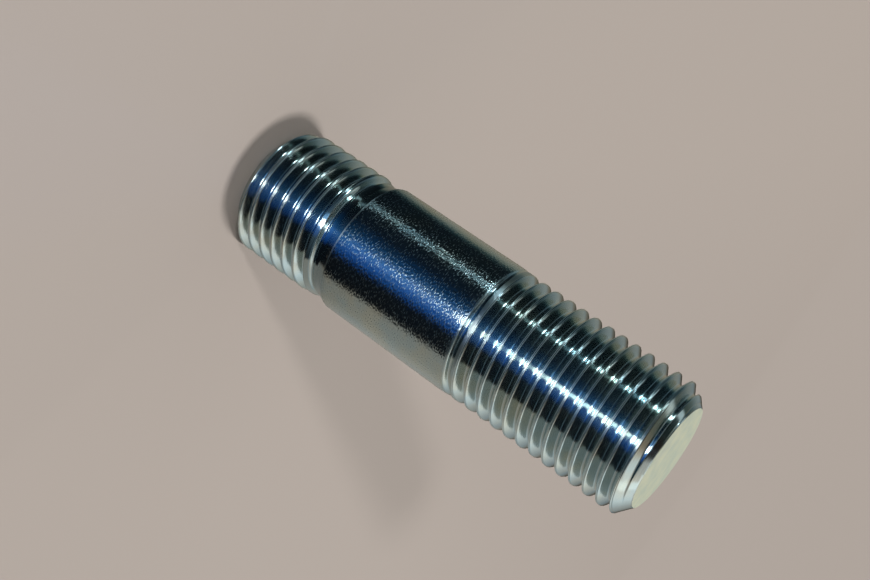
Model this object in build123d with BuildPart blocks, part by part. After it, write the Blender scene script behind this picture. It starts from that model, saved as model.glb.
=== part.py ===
"""Double-ended stud bolt, M14 x 1.5, zinc-plated steel, turned and threaded from one bar.

Frame: +Z runs along the stud, from the tap end that it stands on to the nut end.
The origin is the centre of the tap end's flat face. Millimetres throughout.
"""

import os
from math import atan, cos, degrees, radians, tan

from build123d import *

# ---- driving dimensions -------------------------------------------------------------
length = 48.2  # overall, face to face
shank_d = 14.0  # plain middle, turned

pitch = 1.5  # the same fine pitch at both ends, right hand
crest_d = 13.9  # over the thread crests
root_d = 12.9  # flat floor of the groove, kept shallower than a rolled root to hold few facets
flank_angle = 30.0  # each flank, from square to the axis
crest_flat = pitch / 8  # land left along each crest

nut_face_d = 10.7  # flat face of the nut end
nut_chamfer = 1.6  # along the axis, 45 degrees
tap_face_d = 11.9  # flat face of the tap end
tap_chamfer = 1.0  # along the axis, 45 degrees

nut_thread_end = 28.8  # where the nut-end groove starts to run out
shank_low = 12.5  # plain shank from here
shank_high = 26.9  # to here
shank_ease = 0.6  # from there down to the crests
neck_d = 13.0  # rolling neck between the tap-end thread and the shank
neck_high = 11.3
neck_low = 10.9
tap_thread_end = 9.6  # where the tap-end groove starts to run out

nut_turns = 14  # from the run-out to past the nut end's face
tap_turns = 7  # from the run-out to past the tap end's face
nut_angle = 114.0  # azimuth at which the nut-end groove starts to run out
tap_angle = 45.0  # the same at the tap end

# ---- derived sizes ------------------------------------------------------------------
crest_r = crest_d / 2
root_r = root_d / 2
shank_r = shank_d / 2
neck_r = neck_d / 2
flank_slope = tan(radians(flank_angle))
cut_over = 0.03  # the V goes on just past the crests, so no edge lies in their surface
cut_outer = 0.45  # the cutter's straight back, clear of the bar
crest_half = (pitch - crest_flat) / 2
top_half = crest_half + cut_over * flank_slope
root_half = crest_half - (crest_r - root_r) * flank_slope


def cut_groove(rise):
    """Sweep the thread's groove up one turn, its floor rising by `rise` on the way."""
    slant = degrees(atan(rise / pitch))
    with BuildLine():
        turn = Helix(pitch / cos(radians(slant)), pitch, crest_r, cone_angle=slant)
    with BuildSketch(Plane.XZ) as section:
        Polygon(
            (root_r, -root_half),
            (crest_r + cut_over, -top_half),
            (crest_r + cut_outer, -top_half),
            (crest_r + cut_outer, top_half),
            (crest_r + cut_over, top_half),
            (root_r, root_half),
            align=None,
        )
    sweep(sections=section.sketch, path=turn, is_frenet=True)


with BuildPart() as full_turn:
    cut_groove(0.0)

with BuildPart() as nut_run_out:
    cut_groove(shank_r - root_r + cut_over)

with BuildPart() as tap_run_out:
    cut_groove(neck_r - root_r + cut_over)

# ---- the stud -----------------------------------------------------------------------
with BuildPart() as stud:
    # the turned bar, half its outline spun round the axis
    with BuildSketch(Plane.XZ):
        with BuildLine():
            Polyline(
                (0, 0),
                (tap_face_d / 2, 0),
                (crest_r, tap_chamfer),
                (crest_r, tap_thread_end),
                (neck_r, neck_low),
                (neck_r, neck_high),
                (shank_r, shank_low),
                (shank_r, shank_high),
                (crest_r, shank_high + shank_ease),
                (crest_r, length - nut_chamfer),
                (nut_face_d / 2, length),
                (0, length),
                close=True,
            )
        make_face()
    revolve(axis=Axis.Z)

    # tap-end thread: whole turns down past the face, and the run-out up to the neck
    tap_turn_places = [
        Location((0, 0, tap_thread_end - pitch * turn), (0, 0, tap_angle))
        for turn in range(1, tap_turns + 1)
    ]
    with Locations(*tap_turn_places):
        add(full_turn.part, mode=Mode.SUBTRACT)
    with Locations(Location((0, 0, tap_thread_end), (0, 0, tap_angle))):
        add(tap_run_out.part, mode=Mode.SUBTRACT)

    # nut-end thread: the same cutters turned end for end, which keeps them right hand
    nut_turn_places = [
        Location((0, 0, nut_thread_end + pitch * turn), (180, 0, -nut_angle))
        for turn in range(1, nut_turns + 1)
    ]
    with Locations(*nut_turn_places):
        add(full_turn.part, mode=Mode.SUBTRACT)
    with Locations(Location((0, 0, nut_thread_end), (180, 0, -nut_angle))):
        add(nut_run_out.part, mode=Mode.SUBTRACT)

stud.part.label = "stud"
os.makedirs("parts", exist_ok=True)
export_step(stud.part, "parts/stud.step")
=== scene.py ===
from math import cos, pi, radians, sin, tan

import bpy
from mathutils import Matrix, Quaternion, Vector


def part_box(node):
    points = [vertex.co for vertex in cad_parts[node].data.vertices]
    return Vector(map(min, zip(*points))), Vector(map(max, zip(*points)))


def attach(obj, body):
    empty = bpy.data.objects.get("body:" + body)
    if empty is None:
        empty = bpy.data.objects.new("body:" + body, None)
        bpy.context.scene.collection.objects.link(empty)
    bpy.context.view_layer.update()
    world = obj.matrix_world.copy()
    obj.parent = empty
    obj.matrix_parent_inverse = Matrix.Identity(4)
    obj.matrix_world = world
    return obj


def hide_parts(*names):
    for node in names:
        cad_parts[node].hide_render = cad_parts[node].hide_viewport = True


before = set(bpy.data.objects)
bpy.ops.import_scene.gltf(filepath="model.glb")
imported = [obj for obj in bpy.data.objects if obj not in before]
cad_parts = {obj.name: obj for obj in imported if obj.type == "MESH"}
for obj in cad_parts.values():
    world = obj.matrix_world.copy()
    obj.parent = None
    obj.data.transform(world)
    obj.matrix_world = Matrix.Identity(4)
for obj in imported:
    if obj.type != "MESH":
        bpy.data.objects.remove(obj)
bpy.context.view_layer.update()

mm = 0.001


# ---- the stud -----------------------------------------------------------------------
# One steel bar, turned to its outline and thread-rolled at both ends, then zinc-plated.
# The surface is one long strip wound round the bar at the thread's own pitch, so that its
# rows of faces follow the crests and roots; at each end it winds in to the face's centre.

low_corner, high_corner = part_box("stud")
length = (high_corner.z - low_corner.z) / mm
shank_r = (high_corner.x - low_corner.x) / 2 / mm

pitch = 1.5
crest_r = 13.9 / 2
root_r = 12.06 / 2  # the rolled root, rounded and deeper than the solid's flat one
crest_flat = pitch / 8
flank_slope = tan(radians(30.0))
root_soft = 0.16  # rounding in the root
crest_soft = 0.05  # rounding of the crest's edges
fold_depth = 0.06  # rolling pushes the metal up both flanks, and the two lips never quite meet
fold_half = 0.055
fold_from = 1.2  # height above the shank where the fold starts to show
fold_to = 1.8  # and where it is whole
nick_depth = 0.07
nick_long = 0.5
nick_from = 0.63  # only the highest of the noise leaves a nick
nick_full = 0.74  # and the highest of that a whole one

nut_face_r = 10.7 / 2
tap_face_r = 11.9 / 2
nut_cone_slope = 1.2  # 50 degrees from the axis, a little fuller than the solid's 45
neck_r = 13.0 / 2
tap_thread_end = 9.6
neck_low = 10.9
neck_high = 11.3
shank_low = 12.5
shank_high = 26.9
shank_ease = 0.6
nut_thread_end = 28.8
run_out_over = 0.1  # the groove's floor climbs on just past the shank

tap_groove_z = 0.411  # height of a tap-end groove's centre at azimuth 0
nut_groove_z = 1.326  # the same for the nut end, less whole pitches

columns = 128  # faces round one turn
rows = 24  # faces across one pitch
row_crowding = 0.7  # how much closer the rows lie at the crest and in the root
edge_snap = 0.062  # just over half the widest step between rows and one between columns
weld_gap = 0.002
face_level = 0.001  # a point this close to an end's height lies on its face
face_span = 2.25  # length of strip that winds in over an end face
strip_start = tap_groove_z - pitch / 2 - 3 * pitch
shank_skip = nut_groove_z - tap_groove_z + 7 * pitch  # height gained by stretching the strip
turns = int((length + face_span - shank_skip - strip_start) / pitch) + 1


def add_node(tree, kind, inputs=None, **settings):
    """Add a node, set its properties, and give each input a value or a link."""
    made = tree.nodes.new(kind)
    for name, value in settings.items():
        setattr(made, name, value)
    for key, value in (inputs or {}).items():
        if isinstance(value, bpy.types.Node):
            value = value.outputs[0]
        if isinstance(value, bpy.types.NodeSocket):
            tree.links.new(value, made.inputs[key])
        else:
            made.inputs[key].default_value = value
    return made


wound = bpy.data.node_groups.new("wound stud", "GeometryNodeTree")
sizes = {
    "Length": length,
    "Crest radius": crest_r,
    "Root radius": root_r,
    "Nut face radius": nut_face_r,
    "Tap face radius": tap_face_r,
    "Pitch": pitch,
    "Turns": turns,
    "Strip start": strip_start,
    "Shank skip": shank_skip,
}
for name in sizes:
    kind = "NodeSocketInt" if name == "Turns" else "NodeSocketFloat"
    wound.interface.new_socket(name, in_out="INPUT", socket_type=kind)
wound.interface.new_socket("Plated", in_out="INPUT", socket_type="NodeSocketMaterial")
wound.interface.new_socket("End faces", in_out="INPUT", socket_type="NodeSocketMaterial")
wound.interface.new_socket("Geometry", in_out="OUTPUT", socket_type="NodeSocketGeometry")
given = add_node(wound, "NodeGroupInput").outputs

# a flat grid: x counts turns along the strip, y crosses it
corners = add_node(
    wound, "ShaderNodeMath", {0: given["Turns"], 1: columns, 2: 1.0}, operation="MULTIPLY_ADD"
)
grid = add_node(
    wound,
    "GeometryNodeMeshGrid",
    {"Size X": given["Turns"], "Size Y": 1.0, "Vertices X": corners, "Vertices Y": rows + 1},
)
flat_place = add_node(wound, "GeometryNodeInputPosition")
spot = add_node(wound, "ShaderNodeSeparateXYZ", {0: flat_place}).outputs
turn = add_node(
    wound, "ShaderNodeMath", {0: given["Turns"], 1: 0.5, 2: spot[0]}, operation="MULTIPLY_ADD"
)
angle = add_node(wound, "ShaderNodeMath", {0: turn, 1: 2 * pi}, operation="MULTIPLY")

# rows lie closer at the crest and in the root than on the flanks
row = add_node(wound, "ShaderNodeMath", {0: spot[1], 1: 0.5}, operation="ADD")
row_angle = add_node(wound, "ShaderNodeMath", {0: row, 1: 4 * pi}, operation="MULTIPLY")
crowd = add_node(wound, "ShaderNodeMath", {0: row_angle}, operation="SINE")
phase = add_node(
    wound,
    "ShaderNodeMath",
    {0: crowd, 1: -row_crowding / (4 * pi), 2: row},
    operation="MULTIPLY_ADD",
)
turned_far = add_node(wound, "ShaderNodeMath", {0: turn, 1: phase}, operation="ADD")
wind = add_node(
    wound,
    "ShaderNodeMath",
    {0: turned_far, 1: given["Pitch"], 2: given["Strip start"]},
    operation="MULTIPLY_ADD",
)

# the strip stretches along the plain shank
stretch_end = add_node(
    wound, "ShaderNodeMath", {0: shank_high, 1: given["Shank skip"]}, operation="SUBTRACT"
)
stretch = add_node(
    wound,
    "ShaderNodeMapRange",
    {0: wind, 1: shank_low, 2: stretch_end, 3: 0.0, 4: given["Shank skip"]},
)
height = add_node(wound, "ShaderNodeMath", {0: wind, 1: stretch}, operation="ADD")

# the points nearest each end face move on to its edge, so that the edge comes out sharp
for level in (0.0, given["Length"]):
    near = add_node(
        wound, "ShaderNodeMath", {0: height, 1: level, 2: edge_snap}, operation="COMPARE"
    )
    height = add_node(wound, "ShaderNodeMix", {0: near, 2: height, 3: level})

# outline of the turned bar at that height: down to the neck, up to the shank, down to the
# crests, and a cone at each end
to_neck = add_node(
    wound,
    "ShaderNodeMapRange",
    {0: height, 1: tap_thread_end, 2: neck_low, 3: given["Crest radius"], 4: neck_r},
)
from_neck = add_node(
    wound,
    "ShaderNodeMapRange",
    {0: height, 1: neck_high, 2: shank_low, 3: 0.0, 4: shank_r - neck_r},
)
to_crest = add_node(
    wound,
    "ShaderNodeMapRange",
    {0: height, 1: shank_high, 2: shank_high + shank_ease, 3: 0.0, 4: crest_r - shank_r},
)
raised = add_node(wound, "ShaderNodeMath", {0: to_neck, 1: from_neck}, operation="ADD")
straight = add_node(wound, "ShaderNodeMath", {0: raised, 1: to_crest}, operation="ADD")
tap_cone = add_node(
    wound, "ShaderNodeMath", {0: height, 1: given["Tap face radius"]}, operation="ADD"
)
to_face = add_node(
    wound, "ShaderNodeMath", {0: given["Length"], 1: height}, operation="SUBTRACT"
)
nut_cone = add_node(
    wound,
    "ShaderNodeMath",
    {0: to_face, 1: nut_cone_slope, 2: given["Nut face radius"]},
    operation="MULTIPLY_ADD",
)
cones = add_node(wound, "ShaderNodeMath", {0: tap_cone, 1: nut_cone}, operation="MINIMUM")
bar = add_node(wound, "ShaderNodeMath", {0: straight, 1: cones}, operation="MINIMUM")

# the groove, whose floor climbs out of the bar over its last turn at each end
centred = add_node(wound, "ShaderNodeMath", {0: phase, 1: 0.5}, operation="SUBTRACT")
from_root = add_node(
    wound, "ShaderNodeMath", {0: centred, 1: given["Pitch"]}, operation="MULTIPLY"
)
groove_height = add_node(
    wound, "ShaderNodeMath", {0: height, 1: from_root}, operation="SUBTRACT"
)
tap_rise = add_node(
    wound,
    "ShaderNodeMapRange",
    {0: groove_height, 1: tap_thread_end, 2: tap_thread_end + pitch, 4: neck_r - root_r},
)
neck_rise = add_node(
    wound,
    "ShaderNodeMapRange",
    {
        0: groove_height,
        1: tap_thread_end + pitch,
        2: shank_low,
        4: shank_r - neck_r + run_out_over,
    },
)
nut_fall = add_node(
    wound,
    "ShaderNodeMapRange",
    {
        0: groove_height,
        1: nut_thread_end - pitch,
        2: nut_thread_end,
        4: root_r - shank_r - run_out_over,
    },
)
tap_floor = add_node(wound, "ShaderNodeMath", {0: tap_rise, 1: neck_rise}, operation="ADD")
floor_rise = add_node(wound, "ShaderNodeMath", {0: tap_floor, 1: nut_fall}, operation="ADD")
sideways = add_node(wound, "ShaderNodeMath", {0: from_root}, operation="ABSOLUTE")
vee_tip = crest_r - (pitch - crest_flat) / 2 / flank_slope
flank = add_node(
    wound,
    "ShaderNodeMath",
    {0: sideways, 1: 1 / flank_slope, 2: vee_tip},
    operation="MULTIPLY_ADD",
)
rounded = add_node(
    wound,
    "ShaderNodeMath",
    {0: flank, 1: given["Root radius"], 2: root_soft},
    operation="SMOOTH_MAX",
)
groove = add_node(wound, "ShaderNodeMath", {0: rounded, 1: floor_rise}, operation="ADD")
threaded = add_node(
    wound, "ShaderNodeMath", {0: bar, 1: groove, 2: crest_soft}, operation="SMOOTH_MIN"
)

# the fold along each crest, between the two lips
on_tap_thread = add_node(
    wound,
    "ShaderNodeMapRange",
    {0: height, 1: tap_thread_end - 0.5, 2: tap_thread_end, 3: 1.0, 4: 0.0},
)
on_nut_thread = add_node(
    wound,
    "ShaderNodeMapRange",
    {0: height, 1: shank_high + fold_from, 2: shank_high + fold_to},
)
on_threads = add_node(
    wound, "ShaderNodeMath", {0: on_tap_thread, 1: on_nut_thread}, operation="MAXIMUM"
)
fold = add_node(
    wound,
    "ShaderNodeMapRange",
    {0: sideways, 1: pitch / 2 - fold_half, 2: pitch / 2, 3: 0.0, 4: fold_depth},
)
folded = add_node(wound, "ShaderNodeMath", {0: fold, 1: on_threads}, operation="MULTIPLY")
creased = add_node(wound, "ShaderNodeMath", {0: threaded, 1: folded}, operation="SUBTRACT")

# a few nicks in the crests, from handling in a box of others
along = add_node(
    wound, "ShaderNodeMath", {0: angle, 1: crest_r / nick_long}, operation="MULTIPLY"
)
which_crest = add_node(
    wound, "ShaderNodeMath", {0: height, 1: given["Pitch"]}, operation="DIVIDE"
)
unrolled = add_node(wound, "ShaderNodeCombineXYZ", {0: along, 1: which_crest, 2: 7.0})
knocks = add_node(
    wound, "ShaderNodeTexNoise", {"Vector": unrolled, "Scale": 1.0, "Detail": 1.0}
)
nick = add_node(
    wound,
    "ShaderNodeMapRange",
    {0: knocks, 1: nick_from, 2: nick_full, 3: 0.0, 4: -nick_depth},
)
nicked = add_node(wound, "ShaderNodeMath", {0: nick, 1: on_threads}, operation="MULTIPLY")
left_by_nicks = add_node(wound, "ShaderNodeMath", {0: nicked, 1: shank_r}, operation="ADD")
surface = add_node(
    wound, "ShaderNodeMath", {0: creased, 1: left_by_nicks}, operation="MINIMUM"
)

# past each end the strip lies on the flat face and winds in to its centre
past_nut = add_node(
    wound, "ShaderNodeMath", {0: height, 1: given["Length"]}, operation="SUBTRACT"
)
tap_in = add_node(wound, "ShaderNodeMapRange", {0: height, 1: -face_span, 2: 0.0})
nut_in = add_node(
    wound, "ShaderNodeMapRange", {0: past_nut, 1: 0.0, 2: face_span, 3: 1.0, 4: 0.0}
)
both_in = add_node(wound, "ShaderNodeMath", {0: tap_in, 1: nut_in}, operation="MULTIPLY")
on_tap = add_node(wound, "ShaderNodeMath", {0: height, 1: 0.0}, operation="LESS_THAN")
on_nut = add_node(wound, "ShaderNodeMath", {0: past_nut, 1: 0.0}, operation="GREATER_THAN")
on_face = add_node(wound, "ShaderNodeMath", {0: on_tap, 1: on_nut}, operation="ADD")
edge_r = add_node(
    wound, "ShaderNodeMix", {0: on_nut, 2: given["Tap face radius"], 3: given["Nut face radius"]}
)
grooved_edge = add_node(
    wound, "ShaderNodeMath", {0: edge_r, 1: groove, 2: crest_soft}, operation="SMOOTH_MIN"
)
face_r = add_node(wound, "ShaderNodeMath", {0: grooved_edge, 1: both_in}, operation="MULTIPLY")
radius = add_node(wound, "ShaderNodeMix", {0: on_face, 2: surface, 3: face_r})

# wind the grid round the axis
cosine = add_node(wound, "ShaderNodeMath", {0: angle}, operation="COSINE")
sine = add_node(wound, "ShaderNodeMath", {0: angle}, operation="SINE")
x = add_node(wound, "ShaderNodeMath", {0: radius, 1: cosine}, operation="MULTIPLY")
y = add_node(wound, "ShaderNodeMath", {0: radius, 1: sine}, operation="MULTIPLY")
z = add_node(wound, "ShaderNodeClamp", {0: height, 1: 0.0, 2: given["Length"]})
place = add_node(wound, "ShaderNodeCombineXYZ", {0: x, 1: y, 2: z})
metres = add_node(wound, "ShaderNodeVectorMath", {0: place, 3: mm}, operation="SCALE")
moved = add_node(wound, "GeometryNodeSetPosition", {"Geometry": grid, "Position": metres})
welded = add_node(
    wound, "GeometryNodeMergeByDistance", {"Geometry": moved, "Distance": weld_gap * mm}
)

# the end faces are flat, with a crisp rim
middle = add_node(
    wound, "ShaderNodeMath", {0: given["Length"], 1: 0.5 * mm}, operation="MULTIPLY"
)
where = add_node(wound, "GeometryNodeInputPosition")
where_z = add_node(wound, "ShaderNodeSeparateXYZ", {0: where}).outputs[2]
from_middle = add_node(
    wound, "ShaderNodeMath", {0: where_z, 1: middle}, operation="SUBTRACT"
)
off_middle = add_node(wound, "ShaderNodeMath", {0: from_middle}, operation="ABSOLUTE")
is_face = add_node(
    wound,
    "ShaderNodeMath",
    {0: off_middle, 1: middle, 2: face_level * mm},
    operation="COMPARE",
)
smooth = add_node(wound, "GeometryNodeSetShadeSmooth", {"Geometry": welded})
rimmed = add_node(
    wound,
    "GeometryNodeSetShadeSmooth",
    {"Geometry": smooth, "Selection": is_face, "Shade Smooth": False},
)
real = add_node(wound, "GeometryNodeRealizeInstances", {"Geometry": rimmed})
plated = add_node(
    wound, "GeometryNodeSetMaterial", {"Geometry": real, "Material": given["Plated"]}
)
dressed = add_node(
    wound,
    "GeometryNodeSetMaterial",
    {"Geometry": plated, "Selection": is_face, "Material": given["End faces"]},
)
add_node(wound, "NodeGroupOutput", {"Geometry": dressed})


def to_linear(hex_colour):
    """sRGB hex to linear red, green, blue, alpha."""
    parts = [int(hex_colour[i : i + 2], 16) / 255 for i in (1, 3, 5)]
    linear = [p / 12.92 if p <= 0.04045 else ((p + 0.055) / 1.055) ** 2.4 for p in parts]
    return (*linear, 1.0)


# Bright zinc plate with a clear blue passivate. It mirrors its surroundings, cooled a little
# towards blue-green, and the thin film yellows in patches. Rolling left the threads
# burnished, with rough lips along the crests, and turning left short dashes on the shank.
dash_long = 0.28
dash_apart = 0.1
dash_depth = 0.027
line_long = 5.0
line_apart = 0.1
line_depth = 0.005
patch_size = 3.0

plate = bpy.data.materials.new("bright zinc plate")
plate.use_nodes = True
tree = plate.node_tree
tree.nodes.clear()
coords = add_node(tree, "ShaderNodeTexCoord").outputs["Object"]
place_mm = add_node(tree, "ShaderNodeVectorMath", {0: coords, 3: 1 / mm}, operation="SCALE")
split = add_node(tree, "ShaderNodeSeparateXYZ", {0: place_mm}).outputs
heading = add_node(tree, "ShaderNodeMath", {0: split[1], 1: split[0]}, operation="ARCTAN2")
round_mm = add_node(tree, "ShaderNodeMath", {0: heading, 1: shank_r}, operation="MULTIPLY")
flat_mm = add_node(tree, "ShaderNodeCombineXYZ", {0: round_mm, 1: split[2]})
across = add_node(tree, "ShaderNodeCombineXYZ", {0: split[0], 1: split[1]})
out_mm = add_node(tree, "ShaderNodeVectorMath", {0: across}, operation="LENGTH").outputs["Value"]
past_low = add_node(
    tree, "ShaderNodeMapRange", {0: split[2], 1: shank_low - 0.1, 2: shank_low + 0.1}
)
past_high = add_node(
    tree,
    "ShaderNodeMapRange",
    {0: split[2], 1: shank_high + 0.4, 2: shank_high + 0.8, 3: 1.0, 4: 0.0},
)
on_shank = add_node(tree, "ShaderNodeMath", {0: past_low, 1: past_high}, operation="MULTIPLY")
on_crest = add_node(
    tree, "ShaderNodeMapRange", {0: out_mm, 1: crest_r - 0.025, 2: crest_r - 0.008}
)

# turning dashes on the shank: really some 0.05 mm apart, drawn 0.1 mm apart so that they show
dash_place = add_node(
    tree,
    "ShaderNodeVectorMath",
    {0: flat_mm, 1: (1 / dash_long, 1 / dash_apart, 1.0)},
    operation="MULTIPLY",
)
dashes = add_node(tree, "ShaderNodeTexNoise", {"Vector": dash_place, "Scale": 1.0, "Detail": 0.0})
grained = add_node(tree, "ShaderNodeMath", {0: on_shank, 1: on_crest}, operation="MAXIMUM")
dug = add_node(
    tree, "ShaderNodeMath", {0: grained, 1: dash_depth * mm}, operation="MULTIPLY"
)
turned = add_node(tree, "ShaderNodeBump", {"Height": dashes.outputs[0], "Distance": dug})

# lines that the rolling dies left along the threads, 0.1 mm apart and about 5 mm long
line_place = add_node(
    tree,
    "ShaderNodeVectorMath",
    {0: flat_mm, 1: (1 / line_long, 1 / line_apart, 1.0)},
    operation="MULTIPLY",
)
lines = add_node(tree, "ShaderNodeTexNoise", {"Vector": line_place, "Scale": 1.0, "Detail": 1.0})
rolled = add_node(
    tree,
    "ShaderNodeBump",
    {"Height": lines.outputs[0], "Distance": line_depth * mm, "Normal": turned},
)

# yellow-green patches in the passivate, some 3 mm across
patch_place = add_node(
    tree, "ShaderNodeVectorMath", {0: place_mm, 3: 1 / patch_size}, operation="SCALE"
)
patches = add_node(
    tree, "ShaderNodeTexNoise", {"Vector": patch_place, "Scale": 1.0, "Detail": 2.0}
)
yellowed = add_node(tree, "ShaderNodeMapRange", {0: patches.outputs[0], 1: 0.4, 2: 0.65})
tint = add_node(
    tree,
    "ShaderNodeMix",
    {0: yellowed, 6: to_linear("#c0d3d6"), 7: to_linear("#ced6cd")},
    data_type="RGBA",
)
crest_roughness = add_node(tree, "ShaderNodeMapRange", {0: on_crest, 3: 0.14, 4: 0.45})
dash_roughness = add_node(
    tree, "ShaderNodeMapRange", {0: dashes.outputs[0], 1: 0.55, 2: 0.73, 3: 0.12, 4: 0.36}
)
roughness = add_node(tree, "ShaderNodeMix", {0: on_shank, 2: crest_roughness, 3: dash_roughness})
round_axis = add_node(tree, "ShaderNodeTangent", direction_type="RADIAL", axis="Z")
shine = add_node(
    tree,
    "ShaderNodeBsdfPrincipled",
    {
        "Base Color": tint.outputs[2],
        "Metallic": 1.0,
        "Roughness": roughness,
        "Anisotropic": 0.9,
        "Anisotropic Rotation": 0.25,
        "Normal": rolled,
        "Tangent": round_axis,
    },
)
add_node(tree, "ShaderNodeOutputMaterial", {"Surface": shine})

# The ends were cut from the bar and only faced, so the same plate lies dull and yellowish
# on them, with the faint lines of the cut all one way and blotches some 1.6 mm across.
cut_long = 4.0
cut_apart = 0.35
cut_depth = 0.03
blotch_size = 1.6

dull = bpy.data.materials.new("dull zinc plate on cut ends")
dull.use_nodes = True
tree = dull.node_tree
tree.nodes.clear()
coords = add_node(tree, "ShaderNodeTexCoord").outputs["Object"]
place_mm = add_node(tree, "ShaderNodeVectorMath", {0: coords, 3: 1 / mm}, operation="SCALE")
turned_mm = add_node(
    tree,
    "ShaderNodeMapping",
    {
        "Vector": place_mm,
        "Rotation": (0.0, 0.0, radians(20.0)),
        "Scale": (1 / cut_long, 1 / cut_apart, 1.0),
    },
)
cuts = add_node(tree, "ShaderNodeTexNoise", {"Vector": turned_mm, "Scale": 1.0, "Detail": 3.0})
blotch_place = add_node(
    tree, "ShaderNodeVectorMath", {0: place_mm, 3: 1 / blotch_size}, operation="SCALE"
)
blotches = add_node(
    tree, "ShaderNodeTexNoise", {"Vector": blotch_place, "Scale": 1.0, "Detail": 3.0}
)
stained = add_node(tree, "ShaderNodeMapRange", {0: blotches.outputs[0], 1: 0.35, 2: 0.65})
tint = add_node(
    tree,
    "ShaderNodeMix",
    {0: stained, 6: to_linear("#c0ccbb"), 7: to_linear("#d0d6be")},
    data_type="RGBA",
)
raised = add_node(
    tree, "ShaderNodeBump", {"Height": cuts.outputs[0], "Distance": cut_depth * mm}
)
roughness = add_node(
    tree, "ShaderNodeMapRange", {0: cuts.outputs[0], 1: 0.3, 2: 0.7, 3: 0.42, 4: 0.56}
)
shine = add_node(
    tree,
    "ShaderNodeBsdfPrincipled",
    {"Base Color": tint.outputs[2], "Metallic": 0.2, "Roughness": roughness, "Normal": raised},
)
add_node(tree, "ShaderNodeOutputMaterial", {"Surface": shine})

stud_mesh = bpy.data.meshes.new("stud")
stud = bpy.data.objects.new("zinc_plated_stud", stud_mesh)
bpy.context.scene.collection.objects.link(stud)
winding = stud.modifiers.new("wound stud", "NODES")
winding.node_group = wound
for socket in wound.interface.items_tree:
    if socket.in_out == "INPUT":
        winding[socket.identifier] = {**sizes, "Plated": plate, "End faces": dull}[socket.name]
bpy.context.view_layer.update()
shaped = stud.evaluated_get(bpy.context.evaluated_depsgraph_get())
stud_mesh = bpy.data.meshes.new_from_object(shaped)
stud.modifiers.clear()
stud.data = stud_mesh
stud_mesh.name = "stud"
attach(stud, "root")
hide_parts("stud")


# ---- the floor ----------------------------------------------------------------------
# A plain pale sheet, wide enough that its edge is never seen.

sheet_paint = bpy.data.materials.new("pale sheet")
sheet_paint.use_nodes = True
tree = sheet_paint.node_tree
tree.nodes.clear()
sheet = add_node(
    tree, "ShaderNodeBsdfPrincipled", {"Base Color": to_linear("#b1a9a3"), "Roughness": 0.8}
)
add_node(tree, "ShaderNodeOutputMaterial", {"Surface": sheet})
bpy.ops.mesh.primitive_circle_add(vertices=96, radius=60.0, fill_type="NGON")
floor = bpy.context.object
floor.name = "floor"
floor.data.materials.append(sheet_paint)


# ---- the light ----------------------------------------------------------------------
# Soft light from a pale room, an overhead lamp and a low key lamp. Four small lamps, two in
# front and two to the left, put two rows of glints along the threads.

stage_middle = 24.0 * mm  # about half way up the stud
lamp_distance = 0.118

world = bpy.data.worlds.new("studio")
bpy.context.scene.world = world
world.use_nodes = True
tree = world.node_tree
tree.nodes.clear()
path = add_node(tree, "ShaderNodeLightPath").outputs
room = add_node(
    tree,
    "ShaderNodeMix",
    {0: path["Is Camera Ray"], 6: to_linear("#8a8885"), 7: to_linear("#bab4ae")},
    data_type="RGBA",
)
behind = add_node(tree, "ShaderNodeBackground", {"Color": room.outputs[2], "Strength": 1.0})
add_node(tree, "ShaderNodeOutputWorld", {"Surface": behind})

# far lamps: degrees to the right of the front, degrees up, their width in degrees, and how
# much of the floor's brightness they give
for name, side, rise, width, light, colour in [
    ("key lamp", -18.0, 25.0, 5.0, 0.17, "#fffaf6"),
    ("overhead lamp", 165.0, 86.8, 1.6, 0.60, "#fffaf6"),
]:
    lamp = bpy.data.lights.new(name, "SUN")
    lamp.energy = light * pi / sin(radians(rise))
    lamp.angle = radians(width)
    lamp.color = to_linear(colour)[:3]
    holder = bpy.data.objects.new(name, lamp)
    bpy.context.scene.collection.objects.link(holder)
    away = Vector(
        (
            sin(radians(side)) * cos(radians(rise)),
            -cos(radians(side)) * cos(radians(rise)),
            sin(radians(rise)),
        )
    )
    holder.rotation_mode = "QUATERNION"
    holder.rotation_quaternion = (-away).to_track_quat("-Z", "Y")
    holder.visible_glossy = False

# near lamps: the same directions, their width and height in metres, and how bright their
# own face is
for name, side, rise, width, height, brightness, colour in [
    ("bright glint lamp", 6.5, 14.0, 0.028, 0.034, 16.0, "#ffffff"),
    ("faint glint lamp", -60.0, 14.0, 0.018, 0.036, 15.0, "#dff4ff"),
    ("soft blue lamp", 3.0, 14.0, 0.064, 0.064, 0.8, "#8cc4ff"),
    ("soft green lamp", -60.0, 14.0, 0.050, 0.060, 0.4, "#a8e0e4"),
]:
    lamp = bpy.data.lights.new(name, "AREA")
    lamp.shape = "ELLIPSE"
    lamp.size = width
    lamp.size_y = height
    lamp.energy = brightness * pi * pi * width * height / 4
    lamp.color = to_linear(colour)[:3]
    holder = bpy.data.objects.new(name, lamp)
    bpy.context.scene.collection.objects.link(holder)
    away = Vector(
        (
            sin(radians(side)) * cos(radians(rise)),
            -cos(radians(side)) * cos(radians(rise)),
            sin(radians(rise)),
        )
    )
    holder.location = Vector((0.0, 0.0, stage_middle)) + lamp_distance * away
    holder.rotation_mode = "QUATERNION"
    holder.rotation_quaternion = (-away).to_track_quat("-Z", "Y")
    holder.visible_diffuse = False


# ---- what the plate mirrors ---------------------------------------------------------
# Bright plate is nearly a mirror, so it needs something to mirror: a tent that glows, though it
# is no lamp, painted with reflections, dark in front with a blue strip beside the lens, pale
# behind.
# Only reflections see it.

# glowing colours seen only in reflections: painted reflections, with painted shadow and painted
# highlights among them
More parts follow.
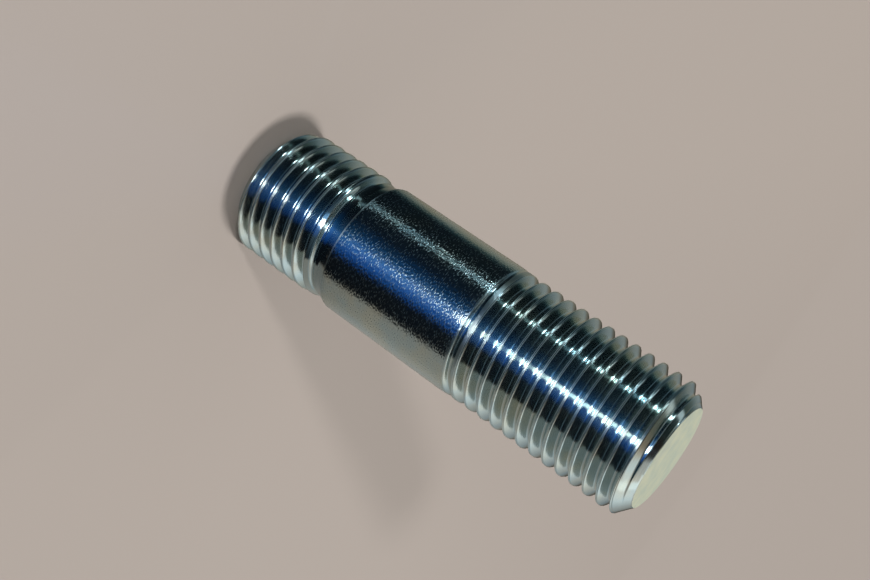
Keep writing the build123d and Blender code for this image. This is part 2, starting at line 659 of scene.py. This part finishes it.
painted_reflections = bpy.data.materials.new("glowing tent of painted dark and pale reflections")
painted_reflections.use_nodes = True
tree = painted_reflections.node_tree
tree.nodes.clear()
coords = add_node(tree, "ShaderNodeTexCoord").outputs["Object"]
place = add_node(tree, "ShaderNodeSeparateXYZ", {0: coords}).outputs
forward = add_node(tree, "ShaderNodeMath", {0: place[1], 1: -1.0}, operation="MULTIPLY")
side = add_node(tree, "ShaderNodeMath", {0: place[0], 1: forward}, operation="ARCTAN2")
share = add_node(tree, "ShaderNodeMapRange", {0: side, 1: -pi, 2: pi})
across = add_node(tree, "ShaderNodeCombineXYZ", {0: place[0], 1: place[1]})
reach = add_node(tree, "ShaderNodeVectorMath", {0: across}, operation="LENGTH").outputs["Value"]
above = add_node(tree, "ShaderNodeMath", {0: place[2], 1: stage_middle}, operation="SUBTRACT")
rise = add_node(tree, "ShaderNodeMath", {0: above, 1: reach}, operation="ARCTAN2")

# colours by direction, in degrees to the right of the front, low down and high up, all of them
# painted reflections: a dark room, a blue strip beside the lens and a pale table. The darkest, at
# the back, is a painted shadow, as dark as the shade on a table right under the stud; the pale
# strip near -60 degrees and the brightest strip at 5 to 9 degrees high up are painted highlights.
low_stops = [
    (-180, "#1c1a17"),
    (-172, "#403c33"),
    (-157, "#928a7c"),
    (-138, "#8e897c"),
    (-124, "#74786e"),
    (-118, "#34484a"),
    (-108, "#12191e"),
    (-63, "#0e161b"),
    (-60.5, "#88a6b0"),
    (-58.5, "#88a6b0"),
    (-56, "#0e161b"),
    (-28, "#101a26"),
    (-12, "#103254"),
    (1, "#1e5890"),
    (5, "#3074c0"),
    (9, "#3074c0"),
    (13, "#2c66b4"),
    (24, "#1a4a90"),
    (33, "#10151c"),
    (70, "#101216"),
    (72, "#8e8881"),
    (105, "#948f88"),
    (135, "#a6a19a"),
    (158, "#a09a92"),
    (172, "#403c33"),
    (180, "#1c1a17"),
]
high_stops = [
    (-180, "#988876"),
    (-150, "#5a5e58"),
    (-125, "#3a4a4a"),
    (-110, "#10191c"),
    (-62, "#0c1013"),
    (-59, "#485860"),
    (-56, "#0c1013"),
    (-15, "#0e141c"),
    (2, "#1a3a60"),
    (5, "#e4f2ff"),
    (9, "#e4f2ff"),
    (12, "#1a3a60"),
    (30, "#0e1218"),
    (68, "#0e0c0a"),
    (74, "#b4a698"),
    (108, "#bcb0a6"),
    (130, "#f6f6f4"),
    (150, "#f2efe8"),
    (164, "#ccbeb0"),
    (180, "#988876"),
]
shades = []
for stops in (low_stops, high_stops):
    made = add_node(tree, "ShaderNodeValToRGB", {0: share})
    points = made.color_ramp.elements
    while len(points) < len(stops):
        points.new(0.5)
    for point, (degrees_right, hex_colour) in zip(points, stops):
        point.position = degrees_right / 360 + 0.5
        point.color = to_linear(hex_colour)
    shades.append(made)
is_high = add_node(
    tree, "ShaderNodeMapRange", {0: rise, 1: radians(12.0), 2: radians(32.0)}
)
both = add_node(
    tree, "ShaderNodeMix", {0: is_high, 6: shades[0], 7: shades[1]}, data_type="RGBA"
)

# a faint pale band above the horizon, a painted reflection
pale_band = add_node(tree, "ShaderNodeValToRGB", {0: rise})
points = pale_band.color_ramp.elements
pale_band_stops = [(0.0, 0.0), (0.08, 0.02), (0.2, 0.35), (0.45, 0.2), (0.7, 0.0)]
while len(points) < len(pale_band_stops):
    points.new(0.5)
for point, (at, value) in zip(points, pale_band_stops):
    point.position = at
    point.color = (value, value, value, 1.0)
with_pale_band = add_node(
    tree,
    "ShaderNodeMix",
    {0: pale_band, 6: both.outputs[2], 7: to_linear("#90aab8")},
    data_type="RGBA",
)

# a dark top, a painted dark reflection overhead
at_top = add_node(tree, "ShaderNodeMapRange", {0: rise, 1: radians(76.0), 2: radians(82.0)})
topped = add_node(
    tree,
    "ShaderNodeMix",
    {0: at_top, 6: with_pale_band.outputs[2], 7: to_linear("#16110e")},
    data_type="RGBA",
)

# painted shadow: dimmer close to the foot, as if the stud shaded the floor there, and none of its
# light reaches the floor by way of the plate
path = add_node(tree, "ShaderNodeLightPath").outputs
direct = add_node(
    tree, "ShaderNodeMapRange", {0: path["Diffuse Depth"], 1: 0.0, 2: 1.0, 3: 1.0, 4: 0.0}
)
shade = add_node(
    tree, "ShaderNodeMapRange", {0: reach, 1: 22.0 * mm, 2: 40.0 * mm, 3: 0.65, 4: 1.0}
)
shaded = add_node(tree, "ShaderNodeMath", {0: direct, 1: shade}, operation="MULTIPLY")

# a bright ring half way up, a painted highlight which only the rounded edges of the threads turn
# towards
off_ring = add_node(tree, "ShaderNodeMath", {0: rise, 1: radians(51.0)}, operation="SUBTRACT")
ring_gap = add_node(tree, "ShaderNodeMath", {0: off_ring}, operation="ABSOLUTE")
ring = add_node(
    tree, "ShaderNodeMapRange", {0: ring_gap, 1: radians(3.0), 2: radians(6.0), 3: 0.5, 4: 0.0}
)
ringed = add_node(
    tree,
    "ShaderNodeMix",
    {0: ring, 6: topped.outputs[2], 7: to_linear("#d2dcde")},
    data_type="RGBA",
)
more = add_node(tree, "ShaderNodeMath", {0: ring, 1: 1.0}, operation="ADD")
strength = add_node(tree, "ShaderNodeMath", {0: shaded, 1: more}, operation="MULTIPLY")
lit = add_node(tree, "ShaderNodeEmission", {"Color": ringed.outputs[2], "Strength": strength})
add_node(tree, "ShaderNodeOutputMaterial", {"Surface": lit})

# half the tent's outline, out from the axis and up from the floor, in metres, then its top
profile = [(0.0085, 0.0004), (0.35, 0.0004), (0.40, 0.10)]
profile += [(0.38, 0.25), (0.28, 0.40), (0.12, 0.50)]
tent_top = 0.52
step = 2
spots = [(0.0, 0.0, tent_top)]
for degrees_right in range(0, 360, step):
    turn = radians(degrees_right)
    spots += [(out * sin(turn), -out * cos(turn), up) for out, up in profile]
count = 360 // step
panels = []
for column in range(count):
    here = 1 + column * len(profile)
    beside = 1 + (column + 1) % count * len(profile)
    for k in range(len(profile) - 1):
        panels.append((here + k, here + k + 1, beside + k + 1, beside + k))
    panels.append((here + len(profile) - 1, 0, beside + len(profile) - 1))
tent_mesh = bpy.data.meshes.new("tent")
tent_mesh.from_pydata(spots, [], panels)
tent_mesh.materials.append(painted_reflections)
tent = bpy.data.objects.new("mirrored_tent", tent_mesh)
bpy.context.scene.collection.objects.link(tent)

# a narrow card of bluish white that glows, though it is no lamp, standing before the nut-end
# thread; seen only in reflections, it paints a highlight streak on the flanks. Its corners are in
# degrees to the right of the front, and in mm out from the axis and up
white = bpy.data.materials.new("glowing card of painted highlight")
white.use_nodes = True
tree = white.node_tree
tree.nodes.clear()
path = add_node(tree, "ShaderNodeLightPath").outputs
direct = add_node(
    tree, "ShaderNodeMapRange", {0: path["Diffuse Depth"], 1: 0.0, 2: 1.0, 3: 3.2, 4: 0.0}
)
lit = add_node(tree, "ShaderNodeEmission", {"Color": to_linear("#eef8ff"), "Strength": direct})
add_node(tree, "ShaderNodeOutputMaterial", {"Surface": lit})
corners = [(2.5, 20.0, 25.0), (8.5, 20.0, 25.0), (8.5, 20.0, 35.0), (2.5, 20.0, 35.0)]
spots = [
    (out * sin(radians(turn)) * mm, -out * cos(radians(turn)) * mm, up * mm)
    for turn, out, up in corners
]
card_mesh = bpy.data.meshes.new("glowing card of painted highlight")
card_mesh.from_pydata(spots, [], [(0, 1, 2, 3)])
card_mesh.materials.append(white)
card = bpy.data.objects.new("glowing_highlight_card", card_mesh)
bpy.context.scene.collection.objects.link(card)

for seen_in_plate in (tent, card):
    seen_in_plate.visible_camera = False
    seen_in_plate.visible_diffuse = False
    seen_in_plate.visible_shadow = False
    seen_in_plate.visible_transmission = False


# ---- the camera ---------------------------------------------------------------------
# Close above the nut end, rolled so that the standing stud lies across the picture.

camera_data = bpy.data.cameras.new("camera")
camera_place = (0.0, -115.4, 67.75)  # mm, as is the point it looks at
camera_aim = (-0.49, 0.0, 20.64)
camera_roll = 124.79
camera_data.lens = 53.2
camera_data.clip_start = 0.005
camera_data.clip_end = 100.0
camera = bpy.data.objects.new("camera", camera_data)
bpy.context.scene.collection.objects.link(camera)
camera.location = Vector(camera_place) * mm
aim = Vector(camera_aim) * mm - camera.location
camera.rotation_mode = "QUATERNION"
camera.rotation_quaternion = aim.to_track_quat("-Z", "Y") @ Quaternion(
    (0.0, 0.0, 1.0), radians(camera_roll)
)
bpy.context.scene.camera = camera

bpy.context.scene.view_settings.view_transform = "Standard"
